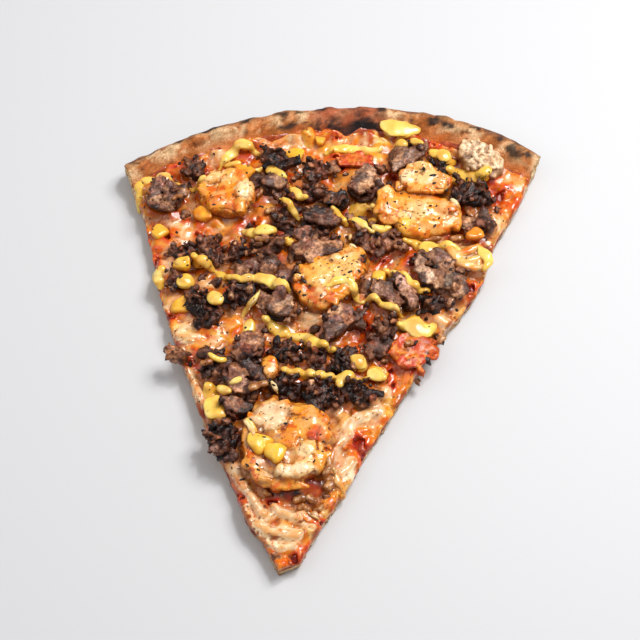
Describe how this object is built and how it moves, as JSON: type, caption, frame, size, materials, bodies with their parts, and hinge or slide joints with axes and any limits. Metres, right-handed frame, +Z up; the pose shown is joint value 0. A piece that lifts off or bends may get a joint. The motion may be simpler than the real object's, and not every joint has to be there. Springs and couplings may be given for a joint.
{
  "type": "pizza slice",
  "caption": "Wide wedge of thin-crust pizza with a raised browned rim, melted cheese over tomato sauce, prawns, crumbled and shaved beef and a drizzle of yellow sauce.",
  "frame": {"origin": "middle of the bounding box in plan, on the flat baked underside", "axes": "+Y runs from the tip to the rim, +Z is up out of the toppings, +X to the right seen from above"},
  "size_m": [0.1714, 0.2054, 0.0191],
  "materials": {
    "baked_dough": "baked bread crust, browned and charred on the rim, floury underneath",
    "tomato_sauce": "wet cooked tomato sauce",
    "melted_cheese": "melted and browned cheese, oily",
    "prawn": "cooked prawn meat, glazed and speckled with spice",
    "tomato": "soft roasted tomato",
    "cheese_fold": "folded slice of melted yellow cheese",
    "white_curds": "small baked curds",
    "beef_crumble": "fried minced beef, crumbly and moist",
    "beef_char": "charred beef, rough with glossy tips",
    "beef_shaving": "thin shaved beef, folded and moist"
  },
  "bodies": {
    "root": {"beef_char_01": "beef_char", "beef_char_02": "beef_char", "beef_char_03": "beef_char", "beef_char_04": "beef_char", "beef_char_05": "beef_char", "beef_char_06": "beef_char", "beef_char_07": "beef_char", "beef_char_08": "beef_char", "beef_char_09": "beef_char", "beef_char_10": "beef_char", "beef_char_11": "beef_char", "beef_char_12": "beef_char", "beef_char_13": "beef_char", "beef_char_14": "beef_char", "beef_char_15": "beef_char", "beef_crumble_01": "beef_crumble", "beef_crumble_02": "beef_crumble", "beef_crumble_03": "beef_crumble", "beef_crumble_04": "beef_crumble", "beef_crumble_05": "beef_crumble", "beef_crumble_06": "beef_crumble", "beef_crumble_07": "beef_crumble", "beef_crumble_08": "beef_crumble", "beef_crumble_09": "beef_crumble", "beef_crumble_10": "beef_crumble", "beef_crumble_11": "beef_crumble", "beef_crumble_12": "beef_crumble", "beef_crumble_13": "beef_crumble", "beef_crumble_14": "beef_crumble", "beef_crumble_15": "beef_crumble", "beef_crumble_16": "beef_crumble", "beef_shaving_01": "beef_shaving", "beef_shaving_02": "beef_shaving", "beef_shaving_03": "beef_shaving", "beef_shaving_04": "beef_shaving", "beef_shaving_05": "beef_shaving", "beef_shaving_06": "beef_shaving", "beef_shaving_07": "beef_shaving", "beef_shaving_08": "beef_shaving", "beef_shaving_09": "beef_shaving", "beef_shaving_10": "beef_shaving", "beef_shaving_11": "beef_shaving", "beef_shaving_12": "beef_shaving", "beef_shaving_13": "beef_shaving", "beef_shaving_14": "beef_shaving", "beef_shaving_15": "beef_shaving", "beef_shaving_16": "beef_shaving", "cheese_fold_01": "cheese_fold", "crust": "baked_dough", "melted_cheese": "melted_cheese", "prawn_01": "prawn", "prawn_02": "prawn", "prawn_03": "prawn", "prawn_04": "prawn", "prawn_05": "prawn", "prawn_06": "prawn", "tomato_01": "tomato", "tomato_02": "tomato", "tomato_sauce": "tomato_sauce", "white_curds_01": "white_curds"}
  },
  "joints": []
}
